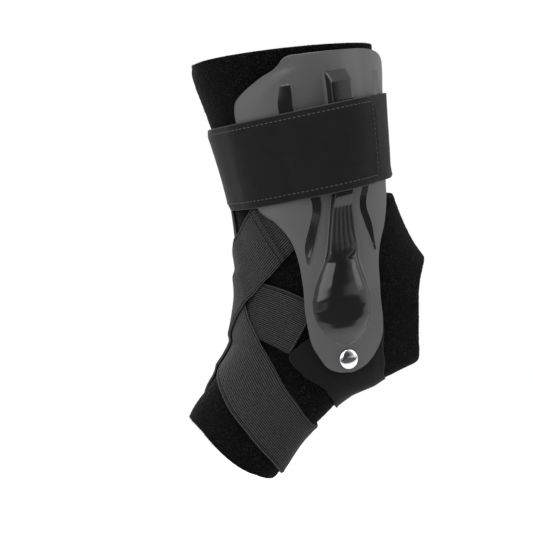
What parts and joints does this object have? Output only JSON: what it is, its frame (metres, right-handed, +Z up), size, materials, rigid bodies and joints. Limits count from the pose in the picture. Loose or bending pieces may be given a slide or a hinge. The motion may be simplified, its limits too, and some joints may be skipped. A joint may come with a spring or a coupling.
{
  "type": "ankle brace",
  "caption": "Semi-rigid ankle brace: padded cloth sleeve with an open heel, riveted side shells on a heel stirrup, crossed elastic instep straps and a wide leg strap.",
  "frame": {"origin": "centre of the ankle inside the brace, midway between the inner and outer sides", "axes": "+Z up the leg, -X towards the toes, -Y towards the inner (medial) side of a right foot"},
  "size_m": [0.1816, 0.1359, 0.2597],
  "materials": {
    "sleeve_cloth": "black brushed loop cloth",
    "stirrup_webbing": "smooth black woven webbing",
    "elastic": "dark grey ribbed elastic",
    "flap_cloth": "smooth black fabric with a dashed edge stitch",
    "shell_plastic": "glossy dark grey moulded plastic",
    "rivet_metal": "polished domed caps"
  },
  "bodies": {
    "root": {"sleeve": "sleeve_cloth", "heel_stirrup": "stirrup_webbing", "saddle_strap": "elastic", "cross_strap_lower": "elastic", "cross_strap_upper": "elastic", "shell_medial": "shell_plastic", "shell_lateral": "shell_plastic", "rivet_medial": "rivet_metal", "rivet_lateral": "rivet_metal", "top_strap_band": "elastic", "top_strap_flap": "flap_cloth"}
  },
  "joints": []
}
